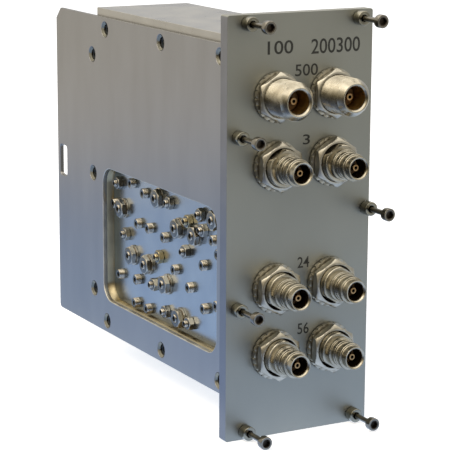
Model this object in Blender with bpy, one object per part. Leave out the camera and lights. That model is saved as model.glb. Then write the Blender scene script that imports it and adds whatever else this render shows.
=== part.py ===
"""A radio-frequency combiner module for a four-unit rack, built in metres with +Z up.

The origin lies on the rear face of the front panel, midway across it, at the height of the lower
row of captive screws, where the panel meets the rack's lower rail. The front looks along -Y.
The jacks and the captive screws stand out of the front panel. Behind it a milled filter housing is
screwed to a thin side plate on its left, whose window shows the lock-nutted tuning screws.
"""

import bpy
import bmesh
from math import cos, pi, radians, sin
from mathutils import Vector

MM = 0.001

# Clearance left wherever two pieces touch or one passes through another
SEAT = 0.3 * MM

# Front panel
PANEL_HEIGHT = 177.0 * MM
PANEL_WIDTH = 68.5 * MM
PANEL_THICKNESS = 5.5 * MM
PANEL_CORNER_RADIUS = 1.0 * MM

# Captive screws: their places are measured from the panel's edges
SCREW_ROW_INSET = 3.5 * MM
SCREW_LEFT_INSET = 9.2 * MM
SCREW_RIGHT_INSET = 6.9 * MM
SIDE_SCREW_LEFT_INSET = 5.2 * MM
SIDE_SCREW_RIGHT_INSET = 1.5 * MM
LOWER_SCREW_RISE = 56.3 * MM
MIDDLE_SCREW_RISE = 93.3 * MM
UPPER_SCREW_DROP = 49.2 * MM
SLEEVE_RADIUS = 3.0 * MM
SLEEVE_STAND = 4.5 * MM
SLEEVE_WALL = 0.7 * MM
SLEEVE_LIP = 1.5 * MM
HEAD_RADIUS = 2.75 * MM
HEAD_LENGTH = 3.0 * MM
HEAD_SOCKET_RADIUS = 1.45 * MM
HEAD_SOCKET_DEPTH = 1.6 * MM
SHANK_RADIUS = 1.15 * MM
SCREW_THREAD_RADIUS = 1.5 * MM
SCREW_THREAD_LENGTH = 7.6 * MM
SCREW_TRAVEL = 10.5 * MM

# Filter housing
HOUSING_LENGTH = 144.6 * MM
HOUSING_RIGHT_INSET = 11.4 * MM
HOUSING_RISE = 3.5 * MM
HOUSING_FOOT_INSET = 1.5 * MM
REAR_STEP_LENGTH = 7.0 * MM
REAR_STEP_DROP = 1.0 * MM

# Side plate, which runs on behind the housing as a tail
PLATE_INSET = 8.0 * MM
PLATE_THICKNESS = 2.0 * MM
PLATE_TAIL = 35.4 * MM
PLATE_SPACE_BELOW = 14.4 * MM
PLATE_SPACE_ABOVE = 13.4 * MM
PLATE_CORNER_CUT = 5.0 * MM
PLATE_CORNER_RADIUS = 2.0 * MM
SLOT_WIDTH = 7.8 * MM
SLOT_HEIGHT = 14.8 * MM
SLOT_MARGIN = 2.8 * MM
SLOT_RISE = 67.8 * MM
SLOT_CORNER_RADIUS = 1.5 * MM

# Countersunk screws of the side plate: a row along its top and foot, and a column at the rear
ROW_SCREW_INSET = 5.6 * MM
ROW_SCREW_FRONT = 15.0 * MM
ROW_SCREW_PITCH = 53.8 * MM
ROW_SCREW_BACK = 19.4 * MM
COLUMN_SCREW_INSET = 18.5 * MM
COLUMN_SCREW_BACK = 5.4 * MM
COUNTERSINK_RADIUS = 3.5 * MM
FLAT_HEAD_RADIUS = 3.1 * MM
FLAT_HEAD_DEPTH = 0.4 * MM
FLAT_SOCKET_RADIUS = 1.3 * MM
FLAT_SOCKET_DEPTH = 0.8 * MM

# Window in the side plate, and the pocket in the housing behind it
WINDOW_FRONT_MARGIN = 17.2 * MM
WINDOW_REAR_MARGIN = 16.0 * MM
WINDOW_RISE = 15.9 * MM
WINDOW_HEIGHT = 63.3 * MM
WINDOW_CORNER_RADIUS = 8.0 * MM
POCKET_DEPTH = 3.7 * MM
COVER_THICKNESS = 2.0 * MM

# Tuning screws, placed on a grid that starts at the window's lower rear corner
TUNER_COLUMN_PITCH = 2.53182 * MM
TUNER_ROW_PITCH = 2.532 * MM
TUNER_EDGE_GAP = 0.4 * MM
TUNER_ROOT = 1.0 * MM
LARGE_NUT_RADIUS = 4.6 * MM
LARGE_NUT_HEIGHT = 3.4 * MM
LARGE_STUD_RADIUS = 2.0 * MM
LARGE_STUD_HEIGHT = 1.4 * MM
MEDIUM_NUT_RADIUS = 3.1 * MM
MEDIUM_NUT_HEIGHT = 2.6 * MM
MEDIUM_STUD_RADIUS = 1.6 * MM
MEDIUM_STUD_HEIGHT = 1.9 * MM
SMALL_STUD_RADIUS = 2.5 * MM
SMALL_STUD_HEIGHT = 2.7 * MM

# Jacks: the two upper rows hang from the panel's top edge, the others stand on its lower edge
JACK_LEFT_INSET = 22.7 * MM
JACK_COLUMN_PITCH = 26.4 * MM
ANTENNA_ROW_DROP = 33.8 * MM
UPPER_ROW_DROP = 62.1 * MM
MIDDLE_ROW_RISE = 63.5 * MM
LOWER_ROW_RISE = 35.2 * MM
UPPER_FLATS_TURN = -122.0
LOWER_FLATS_TURN = -58.0
BARREL_RADIUS = 7.9 * MM
BARREL_FLAT = 7.0 * MM
SPIGOT_RADIUS = 6.0 * MM
SPIGOT_LENGTH = 6.0 * MM

# Antenna jacks: a smooth barrel with a wide mouth
ANTENNA_REACH = 18.8 * MM
ANTENNA_RIM_RADIUS = 6.9 * MM
ANTENNA_CHAMFER = 0.7 * MM
ANTENNA_BORE_RADIUS = 5.0 * MM
ANTENNA_CONTACT_RADIUS = 1.5 * MM
ANTENNA_CONTACT_DEPTH = 4.8 * MM

# Port jacks: a threaded barrel with two flats, then a collar, a groove, a ring and the tip
PORT_REACH = 22.0 * MM
PORT_BARREL_REACH = 9.3 * MM
PORT_BARREL_CHAMFER = 0.6 * MM
PORT_COLLAR_RADIUS = 6.4 * MM
PORT_COLLAR_LENGTH = 2.0 * MM
PORT_RING_RADIUS = 5.7 * MM
PORT_RING_LENGTH = 1.5 * MM
PORT_GROOVE_LENGTH = 2.9 * MM
PORT_TIP_RADIUS = 4.8 * MM
PORT_TIP_LENGTH = 4.9 * MM
PORT_BORE_RADIUS = 3.65 * MM
PORT_CONTACT_RADIUS = 1.4 * MM
PORT_CONTACT_DEPTH = 2.5 * MM

# Nuts and lock washers on the jacks, and the contacts inside them
NUT_RADIUS = 11.0 * MM
NUT_CHAMFER = 0.5 * MM
ANTENNA_NUT_THICKNESS = 2.3 * MM
PORT_NUT_THICKNESS = 4.0 * MM
WASHER_RADIUS = 10.9 * MM
WASHER_TOOTH = 0.9 * MM
WASHER_THICKNESS = 1.8 * MM
WASHER_TEETH = 10
CONTACT_BORE_RADIUS = 0.75 * MM
CONTACT_BORE_DEPTH = 5.0 * MM
CONTACT_STAND = 4.0 * MM
CONTACT_TAIL = 2.0 * MM

# Facets round each kind of turned piece
ANTENNA_FACETS = 16
PORT_FACETS = 14
BORE_FACETS = 12
SCREW_FACETS = 12
SLEEVE_FACETS = 8
FLAT_SCREW_FACETS = 8
CONTACT_FACETS = 6

# Empties that carry the groups of pieces
GUIDE_SIZE = 20 * MM

# Places worked out from the sizes above
PANEL_LEFT = -PANEL_WIDTH / 2
PANEL_RIGHT = PANEL_WIDTH / 2
PANEL_BOTTOM = -SCREW_ROW_INSET
PANEL_TOP = PANEL_BOTTOM + PANEL_HEIGHT
PANEL_FRONT = -PANEL_THICKNESS
PLATE_OUTSIDE = PANEL_LEFT + PLATE_INSET
PLATE_INSIDE = PLATE_OUTSIDE + PLATE_THICKNESS
PLATE_BOTTOM = PANEL_BOTTOM + PLATE_SPACE_BELOW
PLATE_TOP = PANEL_TOP - PLATE_SPACE_ABOVE
HOUSING_LEFT = PLATE_INSIDE + SEAT
HOUSING_RIGHT = PANEL_RIGHT - HOUSING_RIGHT_INSET
HOUSING_BOTTOM = PLATE_BOTTOM + HOUSING_FOOT_INSET
HOUSING_TOP = PLATE_TOP + HOUSING_RISE
HOUSING_FRONT = SEAT
HOUSING_REAR = HOUSING_FRONT + HOUSING_LENGTH
PLATE_FRONT = HOUSING_FRONT
PLATE_REAR = HOUSING_REAR + PLATE_TAIL
WINDOW_FRONT = HOUSING_FRONT + WINDOW_FRONT_MARGIN
WINDOW_REAR = HOUSING_REAR - WINDOW_REAR_MARGIN
WINDOW_BOTTOM = PLATE_BOTTOM + WINDOW_RISE
COVER_FACE = PLATE_INSIDE + POCKET_DEPTH
WASHER_FRONT = SEAT + WASHER_THICKNESS
NUT_BACK = WASHER_FRONT + SEAT
THREAD_BORE_RADIUS = SCREW_THREAD_RADIUS + SEAT
SPIGOT_HOLE_RADIUS = THREAD_BORE_RADIUS + SLEEVE_WALL + SEAT

# Tuning screws as (column, row): columns count from the window's rear, rows from its foot
LARGE_TUNERS = (
    (4.5, 17.8), (8.5, 9.8), (14.5, 9.3), (19, 22.3), (22, 7.3), (26.5, 18.3), (27, 2.3),
    (33, 18.3), (40, 22.3),
)
MEDIUM_TUNERS = (
    (3, 22.3), (6, 13.3), (17.5, 6.3), (19.5, 11.8), (22, 2.3), (23.5, 22.3), (29.5, 14.8),
    (30.5, 20.3), (31, 2.3), (35, 22.3), (36, 19.8),
)
SMALL_TUNERS = (
    (1.3, 18.2), (3.5, 5.2), (8.5, 23.2), (10, 1.2), (10.5, 5.7), (11, 16.2), (13.5, 22.2),
    (15, 1.2), (15.5, 16.2), (21.5, 15.7), (25.5, 10.7), (31, 8.7), (36, 13.7), (36.5, 6.2),
    (39.5, 18.7), (41, 7.7), (41.5, 16.7),
)


def clear_scene():
    """Remove every object, so that a second run starts empty."""
    for obj in list(bpy.data.objects):
        bpy.data.objects.remove(obj, do_unlink=True)


def make_material(name, colour, metallic, roughness):
    """A plain Principled material; colour is linear red, green and blue."""
    material = bpy.data.materials.new(name)
    material.use_nodes = True
    shader = material.node_tree.nodes["Principled BSDF"]
    shader.inputs["Base Color"].default_value = (*colour, 1.0)
    shader.inputs["Metallic"].default_value = metallic
    shader.inputs["Roughness"].default_value = roughness
    material.diffuse_color = (*colour, 1.0)
    return material


def make_mesh(name, bm, smooth=False):
    """Turn a bmesh into a mesh with its faces pointing out."""
    bmesh.ops.recalc_face_normals(bm, faces=bm.faces)
    mesh = bpy.data.meshes.new(name)
    bm.to_mesh(mesh)
    bm.free()
    if smooth:
        mesh.shade_smooth()
        mesh.set_sharp_from_angle(angle=radians(32))
    return mesh


def place(name, mesh, material, parent, location=(0, 0, 0), turn=0.0):
    """Add an object for a mesh, turned about its own Y axis by turn degrees."""
    if material.name not in mesh.materials:
        mesh.materials.append(material)
    obj = bpy.data.objects.new(name, mesh)
    obj.location = location
    obj.rotation_euler = (0, radians(turn), 0)
    obj.parent = parent
    bpy.context.collection.objects.link(obj)
    return obj


def place_guide(name, parent=None):
    """Add an empty that carries a group of pieces."""
    empty = bpy.data.objects.new(name, None)
    empty.empty_display_size = GUIDE_SIZE
    empty.parent = parent
    bpy.context.collection.objects.link(empty)
    return empty


def combine(obj, bm, operation):
    """Cut a bmesh out of an object, or join it on, through a hidden tool object."""
    tool = bpy.data.objects.new(obj.name + "_tool", make_mesh(obj.name + "_tool", bm))
    tool.parent = obj.parent
    tool.display_type = "WIRE"
    tool.hide_render = True
    bpy.context.collection.objects.link(tool)
    modifier = obj.modifiers.new("shape", "BOOLEAN")
    modifier.operation = operation
    modifier.solver = "EXACT"
    modifier.object = tool


def arc(centre, radius, start, end, steps):
    """Points along an arc, its angles in degrees from the outline's first axis."""
    points = []
    for step in range(steps + 1):
        angle = radians(start + (end - start) * step / steps)
        points.append((centre[0] + radius * cos(angle), centre[1] + radius * sin(angle)))
    return points


def rounded_rectangle(low, high, radius, steps):
    """Outline of a rectangle from low to high with round corners, anticlockwise."""
    right, left = high[0] - radius, low[0] + radius
    top, bottom = high[1] - radius, low[1] + radius
    outline = arc((right, top), radius, 0, 90, steps)
    outline += arc((left, top), radius, 90, 180, steps)
    outline += arc((left, bottom), radius, 180, 270, steps)
    outline += arc((right, bottom), radius, 270, 360, steps)
    return outline


def round_hole(centre, radius, facets, flat=None, turn=0.0):
    """Outline of a hole; a flat distance gives it two flats, turned from +X towards -Z."""
    flat = radius if flat is None else flat
    tilt = radians(turn)
    outline = []
    for step in range(facets):
        angle = 2 * pi * step / facets
        along = max(-flat, min(flat, radius * cos(angle)))
        aside = radius * sin(angle)
        across = along * cos(tilt) + aside * sin(tilt)
        up = -along * sin(tilt) + aside * cos(tilt)
        outline.append((centre[0] + across, centre[1] + up))
    return outline


def clear_radius(radius, facets):
    """Corner radius of a faceted hole whose flats clear a round piece by the seat clearance."""
    return (radius + SEAT) / cos(pi / facets)


def add_extrusion(bm, outline, axis, start, end):
    """Add an outline pulled from start to end: axis Y takes (x, z) points, axis X takes (y, z)."""
    verts = []
    for first, second in outline:
        point = (first, start, second) if axis == "Y" else (start, first, second)
        verts.append(bm.verts.new(point))
    face = bm.faces.new(verts)
    pull = Vector((0, end - start, 0)) if axis == "Y" else Vector((end - start, 0, 0))
    result = bmesh.ops.extrude_face_region(bm, geom=[face], use_keep_orig=True)
    moved = [item for item in result["geom"] if isinstance(item, bmesh.types.BMVert)]
    bmesh.ops.translate(bm, verts=moved, vec=pull)


def add_turning(bm, profile, facets, centre=(0, 0, 0), axis="-Y", hex_rings=(), closed=False):
    """Add a profile of (radius, reach) points turned about an axis that points out of the part.

    A point of no radius closes the end. Rings named in hex_rings are hexagons, their radius
    measured to the corners. A closed profile joins its last point to its first, as on a tube.
    """
    rings = []
    for index, (radius, reach) in enumerate(profile):
        ring = []
        for step in range(facets if radius > 0 else 1):
            angle = 2 * pi * step / facets
            size = radius
            if index in hex_rings:
                size = radius * cos(pi / 6) / cos(angle % (pi / 3) - pi / 6)
            across, up = size * cos(angle), size * sin(angle)
            local = (across, -reach, up) if axis == "-Y" else (-reach, across, up)
            ring.append(bm.verts.new(Vector(centre) + Vector(local)))
        rings.append(ring)
    pairs = list(zip(rings, rings[1:]))
    if closed:
        pairs.append((rings[-1], rings[0]))
    for near, far in pairs:
        for step in range(facets):
            following = (step + 1) % facets
            corners = [near[step % len(near)], near[following % len(near)]]
            corners += [far[following % len(far)], far[step % len(far)]]
            bm.faces.new(list(dict.fromkeys(corners)))


def turned(name, profile, facets, **options):
    """A mesh of one turned profile."""
    bm = bmesh.new()
    add_turning(bm, profile, facets, **options)
    return make_mesh(name, bm, smooth=True)


def captive_screw_places():
    """Name and (x, z) place of each captive screw."""
    left = PANEL_LEFT + SCREW_LEFT_INSET
    right = PANEL_RIGHT - SCREW_RIGHT_INSET
    side_left = PANEL_LEFT + SIDE_SCREW_LEFT_INSET
    side_right = PANEL_RIGHT - SIDE_SCREW_RIGHT_INSET
    top = PANEL_TOP - SCREW_ROW_INSET
    bottom = PANEL_BOTTOM + SCREW_ROW_INSET
    return {
        "top_left": (left, top),
        "top_right": (right, top),
        "upper_left": (side_left, PANEL_TOP - UPPER_SCREW_DROP),
        "middle_right": (side_right, PANEL_BOTTOM + MIDDLE_SCREW_RISE),
        "lower_left": (side_left, PANEL_BOTTOM + LOWER_SCREW_RISE),
        "bottom_left": (left, bottom),
        "bottom_right": (right, bottom),
    }


def jack_places():
    """Name of each jack, with its (x, z) place, its kind and the turn of its flats."""
    left = PANEL_LEFT + JACK_LEFT_INSET
    columns = {"left": left, "right": left + JACK_COLUMN_PITCH}
    rows = {
        "antenna": (PANEL_TOP - ANTENNA_ROW_DROP, "antenna", 0.0),
        "upper": (PANEL_TOP - UPPER_ROW_DROP, "port", UPPER_FLATS_TURN),
        "middle": (PANEL_BOTTOM + MIDDLE_ROW_RISE, "port", LOWER_FLATS_TURN),
        "lower": (PANEL_BOTTOM + LOWER_ROW_RISE, "port", LOWER_FLATS_TURN),
    }
    places = {}
    for row, (height, kind, turn) in rows.items():
        for column, across in columns.items():
            places[row + "_" + column] = ((across, height), kind, turn)
    return places


def build_front_panel(material, parent):
    """Flat panel with a hole for each jack and for each captive screw's sleeve."""
    low, high = (PANEL_LEFT, PANEL_BOTTOM), (PANEL_RIGHT, PANEL_TOP)
    bm = bmesh.new()
    outline = rounded_rectangle(low, high, PANEL_CORNER_RADIUS, steps=2)
    add_extrusion(bm, outline, "Y", PANEL_FRONT, 0)
    panel = place("front_panel", make_mesh("front_panel", bm), material, parent)

    holes = bmesh.new()
    before, behind = PANEL_FRONT - PANEL_THICKNESS, PANEL_THICKNESS
    for centre, kind, turn in jack_places().values():
        outline = round_hole(centre, clear_radius(BARREL_RADIUS, BORE_FACETS), BORE_FACETS)
        if kind == "port":
            outline = round_hole(centre, BARREL_RADIUS + SEAT, PORT_FACETS, BARREL_FLAT + SEAT, turn)
        add_extrusion(holes, outline, "Y", before, behind)
    for centre in captive_screw_places().values():
        outline = round_hole(centre, SPIGOT_HOLE_RADIUS, SLEEVE_FACETS)
        add_extrusion(holes, outline, "Y", before, behind)
    combine(panel, holes, "DIFFERENCE")


def window_outline(inset):
    """Outline of the window as (y, z) points, drawn in by an inset."""
    low = (WINDOW_FRONT + inset, WINDOW_BOTTOM + inset)
    high = (WINDOW_REAR - inset, WINDOW_BOTTOM + WINDOW_HEIGHT - inset)
    return rounded_rectangle(low, high, WINDOW_CORNER_RADIUS - inset, steps=3)


def slot_outline():
    """Outline of the slot in the plate's tail as (y, z) points."""
    back, foot = PLATE_REAR - SLOT_MARGIN, PLATE_BOTTOM + SLOT_RISE
    low, high = (back - SLOT_WIDTH, foot), (back, foot + SLOT_HEIGHT)
    return rounded_rectangle(low, high, SLOT_CORNER_RADIUS, steps=2)


def flat_screw_places():
    """(y, z) place of each countersunk screw in the side plate."""
    low, high = PLATE_BOTTOM + ROW_SCREW_INSET, PLATE_TOP - ROW_SCREW_INSET
    first = PLATE_FRONT + ROW_SCREW_FRONT
    places = []
    for back in (first, first + ROW_SCREW_PITCH, HOUSING_REAR - ROW_SCREW_BACK):
        places += [(back, low), (back, high)]
    low, high = PLATE_BOTTOM + COLUMN_SCREW_INSET, PLATE_TOP - COLUMN_SCREW_INSET
    for height in (low, (low + high) / 2, high):
        places.append((HOUSING_REAR - COLUMN_SCREW_BACK, height))
    return places


def build_side_plate(material, parent):
    """Sheet with a window, a slot, a cut rear corner and its row of countersunk screws."""
    radius = PLATE_CORNER_RADIUS
    outline = [(PLATE_FRONT, PLATE_BOTTOM)]
    outline += arc((PLATE_REAR - radius, PLATE_BOTTOM + radius), radius, 270, 360, 3)
    outline += [
        (PLATE_REAR, PLATE_TOP - PLATE_CORNER_CUT),
        (PLATE_REAR - PLATE_CORNER_CUT, PLATE_TOP),
        (PLATE_FRONT, PLATE_TOP),
    ]
    bm = bmesh.new()
    add_extrusion(bm, outline, "X", PLATE_OUTSIDE, PLATE_INSIDE)
    plate = place("side_plate", make_mesh("side_plate", bm), material, parent)

    cuts = bmesh.new()
    before, behind = PLATE_OUTSIDE - PLATE_THICKNESS, PLATE_INSIDE + PLATE_THICKNESS
    add_extrusion(cuts, window_outline(0), "X", before, behind)
    add_extrusion(cuts, slot_outline(), "X", before, behind)
    socket_bottom = -FLAT_HEAD_DEPTH - FLAT_SOCKET_DEPTH
    profile = [
        (0, PLATE_THICKNESS),
        (COUNTERSINK_RADIUS, PLATE_THICKNESS),
        (COUNTERSINK_RADIUS, 0),
        (FLAT_HEAD_RADIUS, -FLAT_HEAD_DEPTH),
        (FLAT_SOCKET_RADIUS, -FLAT_HEAD_DEPTH),
        (FLAT_SOCKET_RADIUS, socket_bottom),
        (0, socket_bottom),
    ]
    for back, up in flat_screw_places():
        centre = (PLATE_OUTSIDE, back, up)
        add_turning(cuts, profile, FLAT_SCREW_FACETS, centre=centre, axis="-X")
    combine(plate, cuts, "DIFFERENCE")


def build_filter_housing(material, parent):
    """Milled block, closed inside, with the tuning pocket and a bore for each jack's spigot."""
    step_front, step_top = HOUSING_REAR - REAR_STEP_LENGTH, PLATE_TOP - REAR_STEP_DROP
    outline = [
        (HOUSING_FRONT, HOUSING_BOTTOM),
        (HOUSING_REAR, HOUSING_BOTTOM),
        (HOUSING_REAR, step_top),
        (step_front, step_top),
        (step_front, HOUSING_TOP),
        (HOUSING_FRONT, HOUSING_TOP),
    ]
    bm = bmesh.new()
    add_extrusion(bm, outline, "X", HOUSING_LEFT, HOUSING_RIGHT)
    housing = place("filter_housing", make_mesh("filter_housing", bm), material, parent)

    cuts = bmesh.new()
    floor = COVER_FACE + COVER_THICKNESS + SEAT
    add_extrusion(cuts, window_outline(0), "X", HOUSING_LEFT - PLATE_THICKNESS, floor)
    radius = clear_radius(SPIGOT_RADIUS, BORE_FACETS)
    bottom = SPIGOT_LENGTH + CONTACT_TAIL + SEAT
    for centre, _, _ in jack_places().values():
        add_extrusion(cuts, round_hole(centre, radius, BORE_FACETS), "Y", PANEL_FRONT, bottom)
    combine(housing, cuts, "DIFFERENCE")


def tuner_centres(places, radius):
    """Centres of the tuning screws of one size that have room inside the window."""
    room = radius + TUNER_EDGE_GAP
    front, top = WINDOW_FRONT + room, WINDOW_BOTTOM + WINDOW_HEIGHT - room
    centres = []
    for column, row in places:
        back = WINDOW_REAR - TUNER_COLUMN_PITCH * column
        up = WINDOW_BOTTOM + TUNER_ROW_PITCH * row
        if back >= front and up <= top:
            centres.append((COVER_FACE, back, up))
    return centres


def tuner_profile(nut_radius, nut_height, stud_radius, stud_height):
    """Profile of a tuning screw that stands out of its lock nut."""
    top = nut_height + stud_height
    return [
        (0, -TUNER_ROOT),
        (nut_radius, -TUNER_ROOT),
        (nut_radius, nut_height),
        (stud_radius, nut_height),
        (stud_radius, top),
        (0, top),
    ]


def build_tuning_cover(material, parent):
    """Cover on the floor of the pocket, with its tuning screws and their lock nuts."""
    bm = bmesh.new()
    add_extrusion(bm, window_outline(SEAT), "X", COVER_FACE, COVER_FACE + COVER_THICKNESS)
    cover = place("tuning_cover", make_mesh("tuning_cover", bm), material, parent)

    large = tuner_profile(LARGE_NUT_RADIUS, LARGE_NUT_HEIGHT, LARGE_STUD_RADIUS, LARGE_STUD_HEIGHT)
    medium = tuner_profile(MEDIUM_NUT_RADIUS, MEDIUM_NUT_HEIGHT, MEDIUM_STUD_RADIUS,
                           MEDIUM_STUD_HEIGHT)
    small = [
        (0, -TUNER_ROOT),
        (SMALL_STUD_RADIUS, -TUNER_ROOT),
        (SMALL_STUD_RADIUS, SMALL_STUD_HEIGHT),
        (0, SMALL_STUD_HEIGHT),
    ]
    studs = bmesh.new()
    sizes = (
        (LARGE_TUNERS, LARGE_NUT_RADIUS, large),
        (MEDIUM_TUNERS, MEDIUM_NUT_RADIUS, medium),
        (SMALL_TUNERS, SMALL_STUD_RADIUS, small),
    )
    for places, radius, profile in sizes:
        for centre in tuner_centres(places, radius):
            add_turning(studs, profile, 6, centre=centre, axis="-X")
    combine(cover, studs, "UNION")


def sleeve_mesh():
    """Sleeve pressed into the panel, its front lip keeping the screw's thread behind it."""
    neck = SHANK_RADIUS + SEAT
    profile = [
        (SLEEVE_RADIUS, SEAT),
        (SLEEVE_RADIUS, SLEEVE_STAND),
        (neck, SLEEVE_STAND),
        (neck, SLEEVE_STAND - SLEEVE_LIP),
        (THREAD_BORE_RADIUS, SLEEVE_STAND - SLEEVE_LIP),
        (THREAD_BORE_RADIUS, -PANEL_THICKNESS),
        (THREAD_BORE_RADIUS + SLEEVE_WALL, -PANEL_THICKNESS),
        (THREAD_BORE_RADIUS + SLEEVE_WALL, SEAT),
    ]
    return turned("screw_sleeve", profile, SLEEVE_FACETS, closed=True)


def captive_screw_mesh():
    """Socket-headed screw, drawn out of its sleeve until its thread meets the lip."""
    thread_front = SLEEVE_STAND - SLEEVE_LIP - SEAT
    head_back = SLEEVE_STAND + SEAT + SCREW_TRAVEL
    head_front = head_back + HEAD_LENGTH
    profile = [
        (0, thread_front - SCREW_THREAD_LENGTH),
        (SCREW_THREAD_RADIUS, thread_front - SCREW_THREAD_LENGTH),
        (SCREW_THREAD_RADIUS, thread_front),
        (SHANK_RADIUS, thread_front),
        (SHANK_RADIUS, head_back),
        (HEAD_RADIUS, head_back),
        (HEAD_RADIUS, head_front),
        (HEAD_SOCKET_RADIUS, head_front),
        (HEAD_SOCKET_RADIUS, head_front - HEAD_SOCKET_DEPTH),
        (0, head_front - HEAD_SOCKET_DEPTH),
    ]
    return turned("captive_screw", profile, SCREW_FACETS, hex_rings=(7, 8))


def build_captive_screws(steel, nickel, parent):
    """A sleeve and a screw at each place, with the origin on the screw's own axis."""
    sleeve, screw = sleeve_mesh(), captive_screw_mesh()
    for name, (across, up) in captive_screw_places().items():
        location = (across, PANEL_FRONT, up)
        place("screw_sleeve_" + name, sleeve, nickel, parent, location)
        place("captive_screw_" + name, screw, steel, parent, location)


def antenna_jack_mesh():
    """Smooth-barrelled jack: spigot, shoulder on the housing, barrel, chamfered mouth and bore."""
    spigot_back, shoulder = -PANEL_THICKNESS - SPIGOT_LENGTH, -PANEL_THICKNESS
    profile = [
        (SPIGOT_RADIUS, spigot_back),
        (SPIGOT_RADIUS, shoulder),
        (BARREL_RADIUS, shoulder),
        (BARREL_RADIUS, ANTENNA_REACH - ANTENNA_CHAMFER),
        (ANTENNA_RIM_RADIUS, ANTENNA_REACH),
        (ANTENNA_BORE_RADIUS + ANTENNA_CHAMFER, ANTENNA_REACH),
        (ANTENNA_BORE_RADIUS, ANTENNA_REACH - ANTENNA_CHAMFER),
        (ANTENNA_BORE_RADIUS, spigot_back),
    ]
    return turned("jack_body_antenna", profile, ANTENNA_FACETS, closed=True)


def port_jack_mesh():
    """Stepped quick-lock jack, with two flats along its threaded barrel."""
    spigot_back, shoulder = -PANEL_THICKNESS - SPIGOT_LENGTH, -PANEL_THICKNESS
    collar_front = PORT_BARREL_REACH + PORT_COLLAR_LENGTH
    ring_front = PORT_REACH - PORT_TIP_LENGTH
    ring_back = ring_front - PORT_RING_LENGTH
    groove_back = ring_back - PORT_GROOVE_LENGTH
    profile = [
        (SPIGOT_RADIUS, spigot_back),
        (SPIGOT_RADIUS, shoulder),
        (BARREL_RADIUS, shoulder),
        (BARREL_RADIUS, PORT_BARREL_REACH - PORT_BARREL_CHAMFER),
        (BARREL_RADIUS - PORT_BARREL_CHAMFER, PORT_BARREL_REACH),
        (PORT_COLLAR_RADIUS, PORT_BARREL_REACH),
        (PORT_COLLAR_RADIUS, collar_front),
        (PORT_RING_RADIUS, collar_front),
        (PORT_RING_RADIUS, groove_back),
        (PORT_TIP_RADIUS, groove_back),
        (PORT_TIP_RADIUS, ring_back),
        (PORT_RING_RADIUS, ring_back),
        (PORT_RING_RADIUS, ring_front),
        (PORT_TIP_RADIUS, ring_front),
        (PORT_TIP_RADIUS, PORT_REACH),
        (PORT_BORE_RADIUS, PORT_REACH),
        (PORT_BORE_RADIUS, spigot_back),
    ]
    bm = bmesh.new()
    add_turning(bm, profile, PORT_FACETS, closed=True)
    for vert in bm.verts:
        if -PORT_BARREL_REACH <= vert.co.y <= -shoulder:
            vert.co.x = max(-BARREL_FLAT, min(BARREL_FLAT, vert.co.x))
    return make_mesh("jack_body_port", bm, smooth=True)


def lock_washer_mesh():
    """Toothed lock washer, its rim stepping in between the teeth."""
    hole_radius = clear_radius(BARREL_RADIUS, WASHER_TEETH)
    levels = []
    bm = bmesh.new()
    for reach in (SEAT, WASHER_FRONT):
        rim, hole = [], []
        for step in range(2 * WASHER_TEETH):
            angle = pi * step / WASHER_TEETH
            radius = WASHER_RADIUS - WASHER_TOOTH * (step % 2)
            rim.append(bm.verts.new((radius * cos(angle), -reach, radius * sin(angle))))
        for across, up in round_hole((0, 0), hole_radius, WASHER_TEETH):
            hole.append(bm.verts.new((across, -reach, up)))
        levels.append((rim, hole))
    for rim, hole in levels:
        for tooth in range(WASHER_TEETH):
            first, second = rim[2 * tooth], rim[2 * tooth + 1]
            third = rim[(2 * tooth + 2) % len(rim)]
            near, far = hole[tooth], hole[(tooth + 1) % WASHER_TEETH]
            bm.faces.new((first, second, near))
            bm.faces.new((second, far, near))
            bm.faces.new((second, third, far))
    for low, high in zip(*levels):
        for step in range(len(low)):
            following = (step + 1) % len(low)
            bm.faces.new((low[step], low[following], high[following], high[step]))
    return make_mesh("lock_washer", bm)


def jack_nut_mesh(name, thickness):
    """Hexagon nut over the washer, its front corners chamfered and its bore clear of the barrel."""
    front = NUT_BACK + thickness
    bore = clear_radius(BARREL_RADIUS, BORE_FACETS)
    face_radius = NUT_RADIUS * cos(pi / 6)
    profile = [
        (NUT_RADIUS, NUT_BACK),
        (NUT_RADIUS, front - NUT_CHAMFER),
        (face_radius, front),
        (bore, front),
        (bore, NUT_BACK),
    ]
    return turned(name, profile, BORE_FACETS, hex_rings=(0, 1), closed=True)


def insulator_mesh(name, bore, contact, front):
    """Plastic bead that holds the contact in the middle of the jack's bore."""
    back = -PANEL_THICKNESS - SPIGOT_LENGTH
    hole = contact + SEAT
    profile = [(bore - SEAT, back), (bore - SEAT, front), (hole, front), (hole, back)]
    return turned(name, profile, CONTACT_FACETS, closed=True)


def contact_mesh(name, radius, front):
    """Socket contact, hollow at its front end, its tail behind the jack's spigot."""
    back = -PANEL_THICKNESS - SPIGOT_LENGTH - CONTACT_TAIL
    profile = [
        (0, back),
        (radius, back),
        (radius, front),
        (CONTACT_BORE_RADIUS, front),
        (CONTACT_BORE_RADIUS, front - CONTACT_BORE_DEPTH),
        (0, front - CONTACT_BORE_DEPTH),
    ]
    return turned(name, profile, CONTACT_FACETS)


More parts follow.
